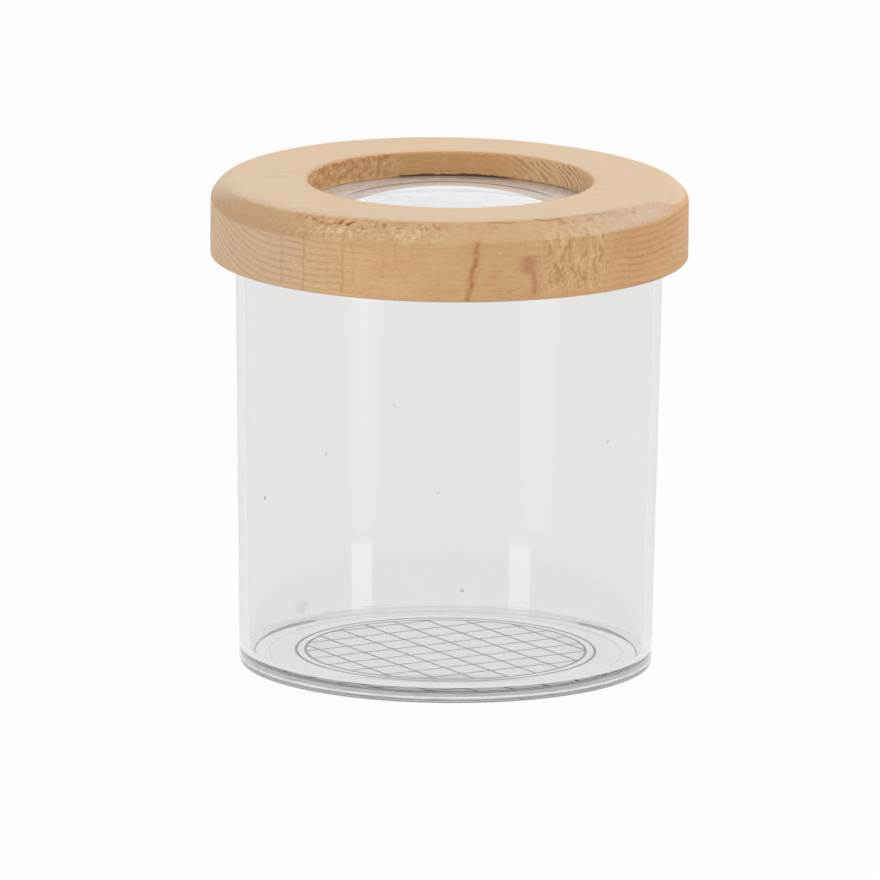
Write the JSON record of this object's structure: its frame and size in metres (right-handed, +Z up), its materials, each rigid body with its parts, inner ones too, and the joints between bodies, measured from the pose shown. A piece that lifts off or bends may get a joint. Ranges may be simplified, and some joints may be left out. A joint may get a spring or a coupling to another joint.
{
  "type": "bug catcher jar",
  "caption": "Clear push-on viewer jar with a printed square grid under its floor and a lift-off lid: a bevelled wooden ring around a clear cap with a magnifying lens.",
  "frame": {"origin": "centre of the jar's foot, on the surface that it stands on", "axes": "+Z up along the jar's axis, through the middle of the lens; -Y towards the picture's viewer"},
  "size_m": [0.072, 0.072, 0.074],
  "materials": {
    "clear_jar": "clear, polished",
    "clear_film": "clear film",
    "grid_ink": "printed ink",
    "clear_cap": "clear, polished",
    "pale_wood": "bare turned softwood, lightly sanded"
  },
  "bodies": {
    "jar": {"jar_body": "clear_jar", "grid_film": "clear_film", "grid_print": "grid_ink"},
    "cap": {"lens_cap": "clear_cap"},
    "ring": {"lid_ring": "pale_wood"}
  },
  "joints": [
    {"name": "lid_lift", "type": "slide", "parent": "jar", "child": "cap", "axis": [0, 0, 1], "range_m": [0, 0.06]},
    {"name": "lid_turn", "type": "hinge", "parent": "cap", "child": "ring", "pos_m": [0, 0, 0.0702], "axis": [0, 0, 1], "continuous": true}
  ]
}
